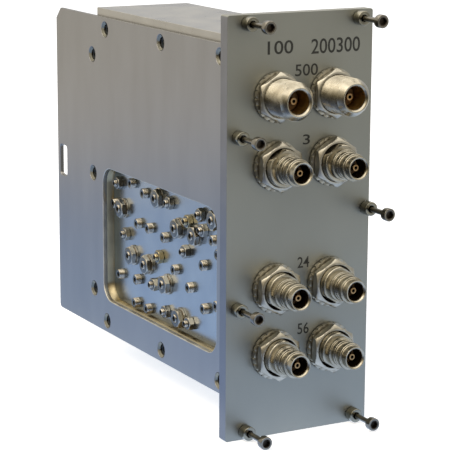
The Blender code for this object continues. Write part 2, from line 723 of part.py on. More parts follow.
def jack_meshes():
    """Meshes of the nut, insulator and contact for each kind of jack, with its body."""
    sizes = {
        "antenna": (ANTENNA_NUT_THICKNESS, ANTENNA_BORE_RADIUS, ANTENNA_CONTACT_RADIUS,
                    ANTENNA_REACH - ANTENNA_CONTACT_DEPTH),
        "port": (PORT_NUT_THICKNESS, PORT_BORE_RADIUS, PORT_CONTACT_RADIUS,
                 PORT_REACH - PORT_CONTACT_DEPTH),
    }
    bodies = {"antenna": antenna_jack_mesh(), "port": port_jack_mesh()}
    meshes = {}
    for kind, (thickness, bore, contact, front) in sizes.items():
        meshes[kind] = {
            "body": bodies[kind],
            "nut": jack_nut_mesh("jack_nut_" + kind, thickness),
            "insulator": insulator_mesh("insulator_" + kind, bore, contact, front - CONTACT_STAND),
            "contact": contact_mesh("contact_" + kind, contact, front),
        }
    return meshes


def build_jacks(nickel, steel, plastic, gold, parent):
    """Each jack's body, lock washer, nut, insulator and contact."""
    washer = lock_washer_mesh()
    kinds = jack_meshes()
    for name, ((across, up), kind, turn) in jack_places().items():
        location = (across, PANEL_FRONT, up)
        meshes = kinds[kind]
        place("jack_body_" + name, meshes["body"], nickel, parent, location, turn)
        place("lock_washer_" + name, washer, steel, parent, location, turn)
        place("jack_nut_" + name, meshes["nut"], nickel, parent, location, turn=30)
        place("insulator_" + name, meshes["insulator"], plastic, parent, location)
        place("contact_" + name, meshes["contact"], gold, parent, location)


def main():
    """Build the whole module."""
    clear_scene()
    panel_grey = make_material("fine_blasted_panel", (0.22, 0.22, 0.20), 0.7, 0.5)
    satin = make_material("satin_aluminium", (0.42, 0.42, 0.41), 0.9, 0.42)
    milled = make_material("milled_aluminium", (0.50, 0.48, 0.43), 0.9, 0.35)
    silvered = make_material("silvered_cover", (0.40, 0.45, 0.52), 1.0, 0.25)
    nickel = make_material("nickel_plate", (0.55, 0.52, 0.45), 1.0, 0.22)
    steel = make_material("stainless_steel", (0.45, 0.44, 0.42), 1.0, 0.30)
    plastic = make_material("ivory_insulator", (0.60, 0.55, 0.42), 0.0, 0.45)
    gold = make_material("gold_contact", (0.75, 0.48, 0.22), 1.0, 0.28)

    module = place_guide("rf_combiner")
    fittings = place_guide("front_fittings", module)
    build_front_panel(panel_grey, module)
    build_side_plate(satin, module)
    build_filter_housing(milled, module)
    build_tuning_cover(silvered, module)
    build_captive_screws(steel, nickel, fittings)
    build_jacks(nickel, steel, plastic, gold, fittings)


main()
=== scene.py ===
from math import cos, pi, radians, sin

import bmesh
import bpy
from mathutils import Matrix, Vector


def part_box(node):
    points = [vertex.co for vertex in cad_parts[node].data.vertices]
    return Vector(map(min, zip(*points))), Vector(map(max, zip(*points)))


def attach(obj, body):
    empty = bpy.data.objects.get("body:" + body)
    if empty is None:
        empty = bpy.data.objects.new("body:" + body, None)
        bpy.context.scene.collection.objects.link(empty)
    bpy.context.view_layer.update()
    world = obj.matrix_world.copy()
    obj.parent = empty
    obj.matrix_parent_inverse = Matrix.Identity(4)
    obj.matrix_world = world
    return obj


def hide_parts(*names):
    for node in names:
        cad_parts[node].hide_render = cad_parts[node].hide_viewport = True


# RF combiner module for a four-unit rack: its looks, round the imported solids
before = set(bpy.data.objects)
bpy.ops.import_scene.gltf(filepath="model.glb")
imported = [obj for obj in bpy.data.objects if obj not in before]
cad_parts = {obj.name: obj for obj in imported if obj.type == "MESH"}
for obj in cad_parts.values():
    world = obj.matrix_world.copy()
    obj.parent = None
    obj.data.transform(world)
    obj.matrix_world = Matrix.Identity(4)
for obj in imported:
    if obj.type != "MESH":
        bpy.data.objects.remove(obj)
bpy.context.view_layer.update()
scene = bpy.context.scene
mm = 0.001
overshoot = 10 * mm  # how far a cutter passes the faces that it cuts through
smoothLimit = radians(32)  # faces that meet at less than this are shaded as one
bevelLimit = radians(50)  # edges that turn by more than this are broken
sideParts = 2.1  # a rounded corner takes at most one of these parts of a side
plainWhite = (1, 1, 1, 1)
print("Frame loaded:", len(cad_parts), "nodes")


# Small tools

def srgb(text):
    parts = [int(text[i:i + 2], 16) / 255 for i in (1, 3, 5)]
    linear = [p / 12.92 if p <= 0.04045 else ((p + 0.055) / 1.055) ** 2.4 for p in parts]
    return (*linear, 1.0)


def addNode(tree, kind, inputs=None, **settings):
    node = tree.nodes.new(kind)
    for key, value in settings.items():
        setattr(node, key, value)
    for key, value in (inputs or {}).items():
        if isinstance(value, bpy.types.NodeSocket):
            tree.links.new(value, node.inputs[key])
        else:
            node.inputs[key].default_value = value
    return node


def calculate(tree, operation, first, second):
    return addNode(tree, "ShaderNodeMath", {0: first, 1: second}, operation=operation).outputs[0]


def cleared(block):
    # The node tree of a new material or world, emptied
    block.use_nodes = True
    block.node_tree.nodes.clear()
    return block.node_tree


def addObject(name, data):
    added = bpy.data.objects.new(name, data)
    scene.collection.objects.link(added)
    return added


def pick(value, angle):
    return value(angle) if callable(value) else value


def turn(bm, profile, steps, closed=False, inner=None):
    # Spins (radius, reach) points about an axis that points out of the panel, towards -Y.
    # A radius or a reach may be a function of the angle, as on hexagons, flats and threads.
    # From the point whose index is inner, faces are marked as the inside of a bore.
    mark = bm.faces.layers.bool.get("inner") or bm.faces.layers.bool.new("inner")
    rings = []
    for radius, reach in profile:
        ring = []
        for step in range(steps if callable(radius) or radius > 0 else 1):
            angle = 2 * pi * step / steps
            size, out = pick(radius, angle), pick(reach, angle)
            ring.append(bm.verts.new((size * cos(angle), -out, size * sin(angle))))
        rings.append(ring)
    pairs = list(zip(rings, rings[1:])) + ([(rings[-1], rings[0])] if closed else [])
    for index, (near, far) in enumerate(pairs):
        for step in range(steps):
            other = (step + 1) % steps
            corners = [near[step % len(near)], near[other % len(near)]]
            corners += [far[other % len(far)], far[step % len(far)]]
            face = bm.faces.new(list(dict.fromkeys(corners)))
            face[mark] = inner is not None and index >= inner


def soften(points, size, closed=False, steps=3):
    # Rounds a profile's corners, so that each edge catches the light
    points = [Vector(p) for p in points]
    out = []
    for i, point in enumerate(points):
        if not closed and i in (0, len(points) - 1):
            out.append(tuple(point))
            continue
        before, after = points[i - 1] - point, points[(i + 1) % len(points)] - point
        cut = min(size, before.length / sideParts, after.length / sideParts)
        first, last = point + before.normalized() * cut, point + after.normalized() * cut
        for k in range(steps + 1):
            t = k / steps
            out.append(tuple(first * (1 - t) ** 2 + point * 2 * t * (1 - t) + last * t ** 2))
    return out


# A thread's form: the rise of its flanks, how much the root cuts off, and the rings in a turn
threadForm = {"rise": 1.6, "rootCut": 0.3, "rings": 6}


def threadRings(crest, root, pitch, back, front):
    # Rings from back to front whose radius follows a helix
    def wave(reach):
        def radius(angle):
            part = (reach / pitch - angle / (2 * pi)) % 1.0
            height = threadForm["rise"] * (1 - abs(2 * part - 1)) - threadForm["rootCut"]
            return root + (crest - root) * max(0.0, min(1.0, height))
        return radius
    count = max(2, round((front - back) / pitch * threadForm["rings"]))
    reaches = [back + (front - back) * k / count for k in range(count + 1)]
    return [(wave(reach), reach) for reach in reaches]


def hexagon(corner, limit=1e9):
    # Radius of a hexagon at an angle, cut back to a round where the limit is smaller
    return lambda angle: min(limit, corner * cos(pi / 6) / cos(angle % (pi / 3) - pi / 6))


def arc(centre, radius, first, last, steps):
    angles = [radians(first + (last - first) * k / steps) for k in range(steps + 1)]
    return [(centre[0] + radius * cos(a), centre[1] + radius * sin(a)) for a in angles]


def circle(centre, radius, steps):
    return arc(centre, radius, 0, 360 - 360 / steps, steps - 1)


def roundedBox(low, high, radius, steps):
    right, left, top, foot = high[0] - radius, low[0] + radius, high[1] - radius, low[1] + radius
    corners = ((right, top), (left, top), (left, foot), (right, foot))
    return [spot for i, corner in enumerate(corners)
            for spot in arc(corner, radius, 90 * i, 90 * i + 90, steps)]


def thicken(bm, faces, shift):
    # Gives faces a thickness, with the first ones left where they are
    made = bmesh.ops.extrude_face_region(bm, geom=faces, use_keep_orig=True)
    moved = [item for item in made["geom"] if isinstance(item, bmesh.types.BMVert)]
    bmesh.ops.translate(bm, verts=moved, vec=shift)


def pull(bm, outline, axis, start, end):
    # A block with the outline's form: axis Y takes (x, z) points and axis X takes (y, z)
    spots = [(a, start, b) if axis == "Y" else (start, a, b) for a, b in outline]
    face = bm.faces.new([bm.verts.new(spot) for spot in spots])
    thicken(bm, [face], (0, end - start, 0) if axis == "Y" else (end - start, 0, 0))


def newPiece(name, bm, material=None):
    bmesh.ops.recalc_face_normals(bm, faces=bm.faces)
    mesh = bpy.data.meshes.new(name)
    bm.to_mesh(mesh)
    bm.free()
    if material:
        mesh.materials.append(material)
    mesh.shade_smooth()
    mesh.set_sharp_from_angle(angle=smoothLimit)
    return addObject(name, mesh)


def bake(piece):
    # Turns what the modifiers make into the piece's own plain mesh
    bpy.context.view_layer.update()
    graph = bpy.context.evaluated_depsgraph_get()
    mesh = bpy.data.meshes.new_from_object(piece.evaluated_get(graph))
    piece.modifiers.clear()
    piece.data = mesh
    mesh.name = piece.name


def cutAndSoften(piece, cutter, edge, sharp=None):
    # Cuts the holes, then breaks the edges the way a deburring tool would, except where sharp
    # says that two parts meet flush
    tool = newPiece(piece.name + "Cutter", cutter)
    if tool.data.polygons:
        cut = piece.modifiers.new("holes", "BOOLEAN")
        cut.solver = "EXACT"
        cut.object = tool
        bake(piece)
    bm = bmesh.new()
    bm.from_mesh(piece.data)
    weight = bm.edges.layers.float.new("bevel_weight_edge")
    for line in bm.edges:
        centre = (line.verts[0].co + line.verts[1].co) / 2
        turned = len(line.link_faces) == 2 and line.calc_face_angle() > bevelLimit
        line[weight] = 1.0 if turned and not (sharp and sharp(centre)) else 0.0
    bm.to_mesh(piece.data)
    bm.free()
    bevel = piece.modifiers.new("softEdges", "BEVEL")
    bevel.width = edge
    bevel.segments = 2
    bevel.limit_method = "WEIGHT"
    bevel.harden_normals = True
    bake(piece)
    bpy.data.objects.remove(tool)


def coatFaces(piece, finish, chosen):
    # Lays a second finish on the faces that chosen picks by normal and middle
    piece.data.materials.append(finish)
    for face in piece.data.polygons:
        if chosen(face.normal, face.center):
            face.material_index = 1


def seat(piece, nodes=(), body="module"):
    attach(piece, body)
    if nodes:
        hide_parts(*nodes)


# Materials

# What most of the finishes share. Patch and grain sizes are in millimetres. The real grain is
# finer, 0.1 mm and less, and is drawn just coarse enough to show.
commonFinish = {"glossChange": 0.05, "grainSize": 0.5, "grainStrength": 0.12, "grainDepth": 0.01,
                "metallic": 1.0, "stretch": (1, 1, 1), "streaks": False}
fineGrain = {"grainSize": 0.4, "grainStrength": 0.1}
patchSpan = (0.3, 0.7)  # the part of the noise over which the two colours blend


def makeFinish(name, dark, light, roughness, patchSize, **ownLook):
    # Faint patches in colour and gloss over a fine grain that only tilts the light
    look = {**commonFinish, **ownLook}
    material = bpy.data.materials.new(name)
    tree = cleared(material)
    place = addNode(tree, "ShaderNodeTexCoord").outputs["Object"]
    stretched = addNode(tree, "ShaderNodeMapping", {
        "Vector": place, "Scale": look["stretch"]}).outputs["Vector"]
    patches = addNode(tree, "ShaderNodeTexNoise", {
        "Vector": stretched, "Scale": 1 / (patchSize * mm), "Detail": 3.0})
    ramp = addNode(tree, "ShaderNodeValToRGB", {"Fac": patches.outputs["Fac"]})
    for stop, spot, tint in zip(ramp.color_ramp.elements, patchSpan, (dark, light)):
        stop.position, stop.color = spot, srgb(tint)
    gloss = addNode(tree, "ShaderNodeMapRange", {
        "Value": patches.outputs["Fac"], "From Min": patchSpan[0], "From Max": patchSpan[1],
        "To Min": roughness - look["glossChange"], "To Max": roughness + look["glossChange"]})
    grain = addNode(tree, "ShaderNodeTexNoise", {
        "Vector": stretched if look["streaks"] else place,
        "Scale": 1 / (look["grainSize"] * mm), "Detail": 2.0})
    bump = addNode(tree, "ShaderNodeBump", {
        "Height": grain.outputs["Fac"], "Strength": look["grainStrength"],
        "Distance": look["grainDepth"] * mm})
    shader = addNode(tree, "ShaderNodeBsdfPrincipled", {
        "Base Color": ramp.outputs["Color"], "Metallic": look["metallic"],
        "Roughness": gloss.outputs["Result"], "Normal": bump.outputs["Normal"]})
    addNode(tree, "ShaderNodeOutputMaterial", {"Surface": shader.outputs["BSDF"]})
    return material


# Each gives a dark and a light tint, roughness, patch size and what it changes in commonFinish

# Blasted and anodised aluminium: a soft even sheen with a dust-fine grain
panelMetal = makeFinish("blastedAnodisedAluminium", "#898a84", "#91928b", 0.42, 35.0,
                        glossChange=0.02, stretch=(1, 1, 0.5), grainStrength=0.2, grainDepth=0.02)

# The panel's cut rim: the same anodised aluminium, darker and cooler than the blasted face as
# painted shade and a painted bluish reflection
rimPaintedShade = makeFinish("anodisedCutAluminium", "#75767a", "#7d7e82", 0.36, 12.0,
                      glossChange=0.02, grainStrength=0.15, grainDepth=0.02)

# Cold-rolled aluminium sheet: the rolling leaves streaks up the plate
plateMetal = makeFinish("rolledAluminiumSheet", "#8d8c8b", "#959493", 0.35, 14.0,
                        glossChange=0.02, stretch=(1, 1, 0.3), grainSize=0.8, grainDepth=0.02,
                        streaks=True)

# Milled aluminium under thin silver, gone faintly yellow in air
housingMetal = makeFinish("tarnishedSilverPlate", "#a5a39e", "#b2b0aa", 0.30, 14.0,
                          glossChange=0.04, grainSize=0.8, grainDepth=0.02)

# Polished silver on the cover: it mirrors the screws that stand on it
coverMetal = makeFinish("polishedSilverPlate", "#9aa0a4", "#aab0b1", 0.24, 22.0,
                        glossChange=0.03, grainSize=1.5, grainStrength=0.05, grainDepth=0.02)

# Nickel over turned brass: a warm bright grey
nickelMetal = makeFinish("nickelPlatedBrass", "#908a7b", "#b2ad9f", 0.27, 4.0, grainStrength=0.1)

# Zinc-plated steel of the tuning screws and their nuts: their flats flash bright and warm
tunerMetal = makeFinish("zincPlatedSteel", "#9b968c", "#bdb6a8", 0.20, 2.5, glossChange=0.04,
                        grainSize=0.4)

# Their turned end faces and sockets: duller, and darker as painted shade
tunerEndPaintedShade = makeFinish("dullTurnedZinc", "#5d5f5e", "#757775", 0.34, 1.2, grainSize=0.4,
                           grainStrength=0.15)

# Dull nickel on the jacks' nuts and lock washers
nutMetal = makeFinish("dullNickelPlate", "#a19d91", "#b6b2a6", 0.34, 4.0)

# Dull nickel on the sleeves and the plate's screws, greyer with handling
sleeveMetal = makeFinish("handledNickelPlate", "#75736a", "#8f8c7e", 0.20, 3.0)

# Cold-formed stainless steel: darker and less even than the nickel
screwMetal = makeFinish("coldFormedStainlessSteel", "#6b6861", "#858178", 0.18, 2.5)

# Sockets of the captive screws: dark brown, painted shade down in the recess
socketPaintedShade = makeFinish("greasySteelSocket", "#35302a", "#47413a", 0.32, 1.5, **fineGrain)

# Chromated walls of the pocket: a thin brassy film
pocketMetal = makeFinish("chromatedAluminium", "#8a8067", "#a3997d", 0.30, 10.0, grainSize=0.6,
                         grainDepth=0.02)

# Cut edge of the sheet round the window: lighter than the sheet, a painted highlight for the
# light it catches
cutEdgePaintedHighlight = makeFinish("burnishedCutAluminium", "#a9a69e", "#bfbcb3", 0.45, 6.0,
                          glossChange=0.04)

# Near-black steel down in the heads of the plate's screws: painted shade in the recess
headPaintedShade = makeFinish("blackOxideSteel", "#262b30", "#343a40", 0.34, 1.5, grainSize=0.4)

# Gilded bores of the antenna jacks: a deep golden brown
giltMetal = makeFinish("giltJackBore", "#9b7c45", "#bd9c5c", 0.40, 2.5, **fineGrain)

# Bare brass of two tuning screws and their nuts
brassMetal = makeFinish("bareTurnedBrass", "#a09271", "#bbae8c", 0.22, 2.0, glossChange=0.04,
                        **fineGrain)

# Gold flash on the contacts
goldMetal = makeFinish("goldFlashedCopper", "#8f7350", "#a98c66", 0.30, 1.5, glossChange=0.03,
                       **fineGrain)

# Plating inside the jacks, coloured near black as painted shade down in the bores
borePaintedShade = makeFinish("plugWornBorePlating", "#2c231a", "#3a2e20", 0.40, 2.0, **fineGrain)

# Turned fluoroplastic, coloured dark brown as painted shade down in the bore
beadPaintedShade = makeFinish("agedFluoroplastic", "#4a3418", "#5e4423", 0.5, 2.0, glossChange=0.04,
                         metallic=0.0, **fineGrain)

# Screen-printed epoxy ink: flat and nearly black
inkPaint = makeFinish("screenPrintedInk", "#141510", "#1c1d19", 0.65, 1.0, glossChange=0.02,
                      metallic=0.0, grainSize=0.3, grainStrength=0.1, grainDepth=0.005)
print("Materials made")


# Fittings that repeat: one Geometry Nodes tree sets a shape on each of its places

def fittingTree():
    tree = bpy.data.node_groups.new("fittingsOnPlaces", "GeometryNodeTree")
    face = tree.interface
    face.new_socket("Geometry", in_out="INPUT", socket_type="NodeSocketGeometry")
    for name, kind in (("Shape", "Object"), ("Finish", "Material"), ("Inner Finish", "Material"),
                       ("Spin Spread", "Float"), ("Height Spread", "Float"), ("Seed", "Int")):
        face.new_socket(name, in_out="INPUT", socket_type="NodeSocket" + kind)
    face.new_socket("Geometry", in_out="OUTPUT", socket_type="NodeSocketGeometry")
    given = addNode(tree, "NodeGroupInput").outputs
    shape = addNode(tree, "GeometryNodeObjectInfo", {"Object": given["Shape"]})
    turnKept = addNode(tree, "GeometryNodeInputNamedAttribute", {"Name": "turn"},
                       data_type="FLOAT_VECTOR")
    spin = addNode(tree, "FunctionNodeRandomValue", {
        2: 0.0, 3: given["Spin Spread"], "Seed": given["Seed"]}, data_type="FLOAT")
    spun = addNode(tree, "ShaderNodeCombineXYZ", {"Y": spin.outputs[1]})
    whole = addNode(tree, "ShaderNodeVectorMath", {0: turnKept.outputs[0], 1: spun.outputs[0]})
    least = calculate(tree, "SUBTRACT", 1.0, given["Height Spread"])
    height = addNode(tree, "FunctionNodeRandomValue", {
        2: least, 3: 1.0, "Seed": given["Seed"]}, data_type="FLOAT")
    size = addNode(tree, "ShaderNodeCombineXYZ", {"X": 1.0, "Y": height.outputs[1], "Z": 1.0})
    copies = addNode(tree, "GeometryNodeInstanceOnPoints", {
        "Points": given["Geometry"], "Instance": shape.outputs["Geometry"],
        "Rotation": whole.outputs["Vector"], "Scale": size.outputs["Vector"]})
    real = addNode(tree, "GeometryNodeRealizeInstances", {"Geometry": copies.outputs[0]})
    coat = addNode(tree, "GeometryNodeSetMaterial", {
        "Geometry": real.outputs[0], "Material": given["Finish"]})
    inner = addNode(tree, "GeometryNodeInputNamedAttribute", {"Name": "inner"},
                    data_type="BOOLEAN")
    lining = addNode(tree, "GeometryNodeSetMaterial", {
        "Geometry": coat.outputs[0], "Selection": inner.outputs[0],
        "Material": given["Inner Finish"]})
    addNode(tree, "NodeGroupOutput", {"Geometry": lining.outputs[0]})
    return tree, {item.name: item.identifier for item in face.items_tree
                  if item.in_out == "INPUT"}


fittings, fittingInputs = fittingTree()


def setFittings(name, bm, places, finish, inner=None, spin=0.0, height=0.0, seed=1):
    # Places are ((x, y, z), turn about the fitting's own axis in degrees, side it faces)
    shape = newPiece(name + "Shape", bm)
    mesh = bpy.data.meshes.new(name)
    mesh.from_pydata([spot for spot, _, _ in places], [], [])
    facing = {"front": 0.0, "left": -90.0}
    turns = mesh.attributes.new("turn", "FLOAT_VECTOR", "POINT")
    for item, (_, own, side) in zip(turns.data, places):
        item.vector = (0.0, radians(own), radians(facing[side]))
    piece = addObject(name, mesh)
    modifier = piece.modifiers.new("fittings", "NODES")
    modifier.node_group = fittings
    values = {"Shape": shape, "Finish": finish, "Inner Finish": inner or finish,
              "Spin Spread": spin, "Height Spread": height, "Seed": seed}
    for key, value in values.items():
        modifier[fittingInputs[key]] = value
    bake(piece)
    bpy.data.objects.remove(shape)
    return piece


# Places read off the frame's own nodes

def middle(node):
    low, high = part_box(node)
    return (low + high) / 2


panelLow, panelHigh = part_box("front_panel")
rows = ("antenna", "upper", "middle", "lower")
jackNames = [row + "_" + side for row in rows for side in ("left", "right")]
jackKinds = {"antenna": jackNames[:2], "port": jackNames[2:]}
screwNames = ("top_left", "top_right", "upper_left", "middle_right", "lower_left", "bottom_left",
              "bottom_right")
jackSpots = {name: middle("jack_body_" + name) for name in jackNames}
screwSpots = {name: middle("captive_screw_" + name) for name in screwNames}


def onPanel(spot, own=0.0):
    return ((spot.x, panelLow.y, spot.z), own, "front")


# Front panel, a hole through it for each jack and sleeve

panelLook = {
    "cornerRadius": 1.0 * mm,
    "cornerSteps": 6,
    "edge": 0.3 * mm,
    "jackHole": 8.25 * mm,
    "sleeveHole": 2.85 * mm,
    "holeSteps": 48,
}


def makePanel(look):
    bm = bmesh.new()
    outline = roundedBox((panelLow.x, panelLow.z), (panelHigh.x, panelHigh.z),
                         look["cornerRadius"], look["cornerSteps"])
    pull(bm, outline, "Y", panelLow.y, panelHigh.y)
    piece = newPiece("frontPanel", bm, panelMetal)
    holes = bmesh.new()
    for spots, size in ((jackSpots, look["jackHole"]), (screwSpots, look["sleeveHole"])):
        for spot in spots.values():
            pull(holes, circle((spot.x, spot.z), size, look["holeSteps"]), "Y",
                 panelLow.y - overshoot, panelHigh.y + overshoot)
    cutAndSoften(piece, holes, look["edge"])
    # The left rim's faces take the darker, cooler copy: painted shade
    coatFaces(piece, rimPaintedShade, lambda normal, spot: (
        abs(normal.x) > 0.8 and spot.x < panelLow.x + look["cornerRadius"]))
    seat(piece, ["front_panel"])


makePanel(panelLook)


# Numbers printed on the panel, each fitted to its own field: text, left, right, foot, top in mm

numberFields = {
    "ink": 0.03 * mm,
    "bolder": 0.01,
    "fields": [
        ("100", -15.75, -3.75, 156.9, 162.4),
        ("200300", 4.75, 28.25, 156.1, 162.3),
        ("500", -2.75, 8.1, 147.4, 152.3),
        ("3", 1.35, 4.75, 119.0, 123.2),
        ("24", -0.45, 5.25, 67.1, 71.8),
        ("56", -0.05, 5.45, 38.5, 43.3),
    ],
}


def makeNumbers(look):
    joined = bmesh.new()
    for text, left, right, foot, top in look["fields"]:
        curve = bpy.data.curves.new("number", "FONT")
        curve.body = text
        curve.resolution_u = 4
        curve.offset = look["bolder"]
        writing = addObject("number", curve)
        bpy.context.view_layer.update()
        mesh = bpy.data.meshes.new_from_object(writing)
        bpy.data.objects.remove(writing)
        xs, ys = [v.co.x for v in mesh.vertices], [v.co.y for v in mesh.vertices]
        wide = (right - left) * mm / (max(xs) - min(xs))
        tall = (top - foot) * mm / (max(ys) - min(ys))
        for vert in mesh.vertices:
            across = left * mm + (vert.co.x - min(xs)) * wide
            up = foot * mm + (vert.co.y - min(ys)) * tall
            vert.co = (across, panelLow.y - look["ink"], up)
        joined.from_mesh(mesh)
        bpy.data.meshes.remove(mesh)
    bmesh.ops.remove_doubles(joined, verts=joined.verts, dist=1e-6)
    thicken(joined, list(joined.faces), (0, look["ink"], 0))
    piece = newPiece("panelNumbers", joined, inkPaint)
    seat(piece)


makeNumbers(numberFields)
print("Front panel and its numbers made")


# Side plate: window, slot, cut rear corner and holes for its countersunk screws

plateLow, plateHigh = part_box("side_plate")
coverLow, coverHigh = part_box("tuning_cover")
housingLow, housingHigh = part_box("filter_housing")

plateLook = {
    "edge": 0.4 * mm,
    "cornerCut": 5.0 * mm,
    "footRadius": 2.0 * mm,
    "footSteps": 8,
    "windowRadius": 8.0 * mm,
    "windowSteps": 12,
    "slot": (169.7 * mm, 177.5 * mm, 78.7 * mm, 93.5 * mm),  # front, rear, foot, top
    "slotRadius": 1.5 * mm,
    "slotSteps": 6,
    "screwHole": 3.5 * mm,
    "holeSteps": 36,
    "onFace": 0.1 * mm,
    "screws": [(15.3, 16.5), (69.1, 16.5), (125.5, 16.5), (15.3, 154.5), (69.1, 154.5),
               (125.5, 154.5), (139.5, 29.4), (139.5, 85.5), (139.5, 141.6)],
}
seatGap = 0.3 * mm
windowLow = (coverLow.y - seatGap, coverLow.z - seatGap)
windowHigh = (coverHigh.y + seatGap, coverHigh.z + seatGap)
windowRoom = 1 * mm  # a face this far outside the window is still on its edge


def inWindow(back, up):
    return (windowLow[0] - windowRoom < back < windowHigh[0] + windowRoom
            and windowLow[1] - windowRoom < up < windowHigh[1] + windowRoom)


def makePlate(look):
    bm = bmesh.new()
    cut, foot = look["cornerCut"], look["footRadius"]
    outline = [(plateLow.y, plateLow.z)]
    outline += arc((plateHigh.y - foot, plateLow.z + foot), foot, 270, 360, look["footSteps"])
    outline += [(plateHigh.y, plateHigh.z - cut), (plateHigh.y - cut, plateHigh.z),
                (plateLow.y, plateHigh.z)]
    pull(bm, outline, "X", plateLow.x, plateHigh.x)
    piece = newPiece("sidePlate", bm, plateMetal)
    holes = bmesh.new()
    near, far = plateLow.x - overshoot, plateHigh.x + overshoot
    window = roundedBox(windowLow, windowHigh, look["windowRadius"], look["windowSteps"])
    front, rear, low, high = look["slot"]
    slot = roundedBox((front, low), (rear, high), look["slotRadius"], look["slotSteps"])
    screws = [circle((back * mm, up * mm), look["screwHole"], look["holeSteps"])
              for back, up in look["screws"]]
    for outline in [window, slot] + screws:
        pull(holes, outline, "X", near, far)

    def meetsPocket(spot):
        return spot.x > plateHigh.x - look["onFace"] and inWindow(spot.y, spot.z)
    cutAndSoften(piece, holes, look["edge"], meetsPocket)
    # The window's edge faces take the lighter copy: painted highlight
    coatFaces(piece, cutEdgePaintedHighlight, lambda normal, spot: (
        abs(normal.x) < 0.95 and inWindow(spot.y, spot.z)))
    seat(piece, ["side_plate"])


makePlate(plateLook)

flatScrewLook = {
    "headRadius": 3.42 * mm,
    "rim": 0.05 * mm,
    "mouth": 2.4 * mm,
    "mouthDrop": 0.9 * mm,
    "floor": 1.5 * mm,
    "floorShare": 0.97,
    "socket": 1.3 * mm,
    "socketDepth": 0.7 * mm,
    "socketPoint": 0.15 * mm,
    "flare": 1.12,
    "length": 2.6 * mm,
    "shankShare": 0.55,
    "side": 0.4 * mm,
    "edge": 0.1 * mm,
    "steps": 36,
    "turnStep": 17.0,
}


def makeFlatScrews(look):
    bm = bmesh.new()
    head, rim, mouth, floor = look["headRadius"], look["rim"], look["mouth"], look["floor"]
    outer = soften([
        (0, -look["length"]), (head * look["shankShare"], -look["length"]),
        (head, -rim - look["side"]), (head, -rim), (mouth, -look["mouthDrop"])], look["edge"])
    wall, depth = hexagon(look["socket"]), -floor - look["socketDepth"]
    socket = [(mouth * look["floorShare"], -floor), (look["socket"] * look["flare"], -floor),
              (wall, -floor - look["edge"]), (wall, depth), (0, depth - look["socketPoint"])]
    turn(bm, outer + socket, look["steps"], inner=len(outer))
    places = [((plateLow.x, back * mm, up * mm), look["turnStep"] * i, "left")
              for i, (back, up) in enumerate(plateLook["screws"])]
    # The recessed head and socket take the near-black steel: painted shade
    piece = setFittings("flatScrews", bm, places, sleeveMetal, inner=headPaintedShade)
    seat(piece)


makeFlatScrews(flatScrewLook)
print("Side plate made")


# Filter housing: a milled block with a step at its rear and the tuning pocket in its left side

housingLook = {
    "edge": 0.3 * mm,
    "rearStep": 7.0 * mm,
    "rearDrop": 4.5 * mm,
    "spigotHole": 6.5 * mm,
    "spigotDepth": 8.3 * mm,
    "holeSteps": 24,
    "flush": 0.25 * mm,
}


def makeHousing(look):
    bm = bmesh.new()
    step, drop = housingHigh.y - look["rearStep"], housingHigh.z - look["rearDrop"]
    outline = [(housingLow.y, housingLow.z), (housingHigh.y, housingLow.z), (housingHigh.y, drop),
               (step, drop), (step, housingHigh.z), (housingLow.y, housingHigh.z)]
    pull(bm, outline, "X", housingLow.x - look["flush"], housingHigh.x)
    piece = newPiece("filterHousing", bm, housingMetal)
    holes = bmesh.new()
    pocket = roundedBox(windowLow, windowHigh, plateLook["windowRadius"],
                        plateLook["windowSteps"])
    pull(holes, pocket, "X", housingLow.x - overshoot, coverHigh.x + seatGap)
    for spot in jackSpots.values():
        pull(holes, circle((spot.x, spot.z), look["spigotHole"], look["holeSteps"]), "Y",
             housingLow.y - overshoot, look["spigotDepth"])

    def meetsPlate(spot):
        return spot.x < housingLow.x and inWindow(spot.y, spot.z)
    cutAndSoften(piece, holes, look["edge"], meetsPlate)
    coatFaces(piece, pocketMetal, lambda normal, spot: (
        abs(normal.x) < 0.3 and inWindow(spot.y, spot.z)))
    seat(piece, ["filter_housing"])


makeHousing(housingLook)


# Tuning cover on the pocket's floor, and the screws that stand on it

coverLook = {"edge": 0.1 * mm, "cornerRadius": 7.95 * mm, "face": -20.55 * mm, "grown": 0.25 * mm}


def makeCover(look):
    bm = bmesh.new()
    grown = look["grown"]
    outline = roundedBox((coverLow.y - grown, coverLow.z - grown),
                         (coverHigh.y + grown, coverHigh.z + grown), look["cornerRadius"],
                         plateLook["windowSteps"])
    pull(bm, outline, "X", look["face"], coverHigh.x)
    piece = newPiece("tuningCover", bm, coverMetal)
    cutAndSoften(piece, bmesh.new(), look["edge"])
    seat(piece, ["tuning_cover"])


makeCover(coverLook)

